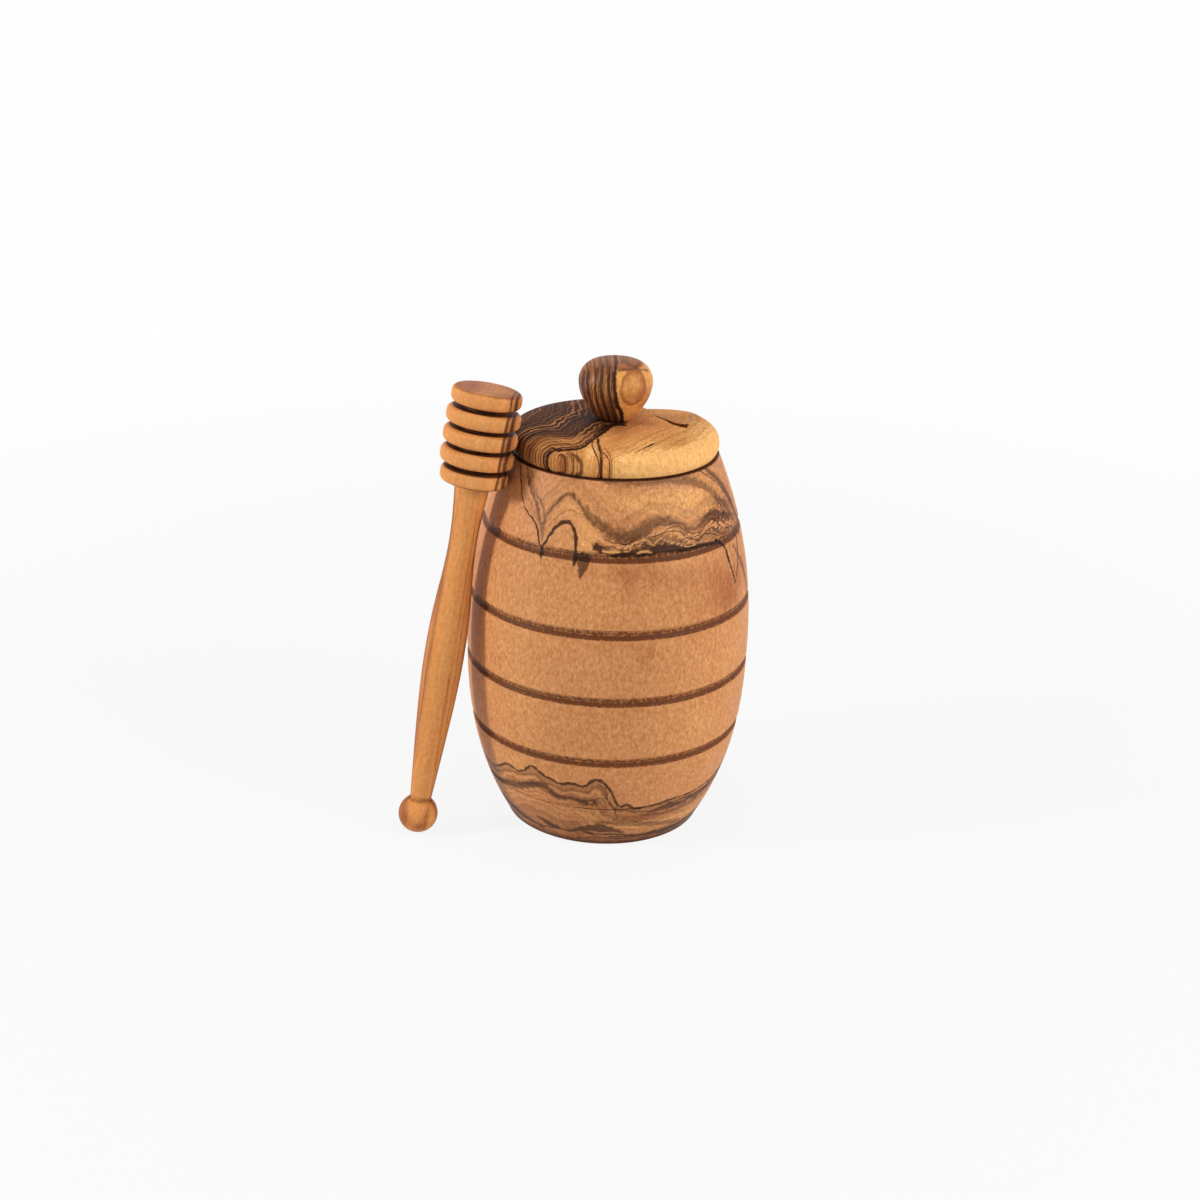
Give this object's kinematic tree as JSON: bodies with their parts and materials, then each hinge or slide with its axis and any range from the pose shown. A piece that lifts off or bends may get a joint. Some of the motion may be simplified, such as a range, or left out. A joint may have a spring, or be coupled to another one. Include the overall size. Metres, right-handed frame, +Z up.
{
  "type": "honey pot",
  "caption": "Barrel-shaped turned wooden honey pot with a slotted lift-off lid, glued knob and a separate ringed dipper that leans on the pot.",
  "frame": {"origin": "centre of the pot's flat base, on the surface it stands on", "axes": "+Z up along the pot's turning axis; the dipper stands at -X and a little to -Y; the lid's slot opens towards +Y"},
  "size_m": [0.0977, 0.08, 0.1339],
  "materials": {
    "pot_wood": "oiled satin",
    "lid_wood": "oiled satin",
    "knob_wood": "oiled satin",
    "dipper_wood": "oiled satin"
  },
  "bodies": {
    "pot": {"pot_body": "pot_wood"},
    "lid": {"lid": "lid_wood", "knob": "knob_wood"},
    "dipper": {"dipper": "dipper_wood"}
  },
  "joints": [
    {"name": "lid_lift", "type": "slide", "parent": "pot", "child": "lid", "axis": [0.1591, 0.0695, 0.9848], "range_m": [0, 0.09]},
    {"name": "dipper_lift", "type": "slide", "parent": "pot", "child": "dipper", "axis": [0, 0, 1], "range_m": [0, 0.12]}
  ]
}
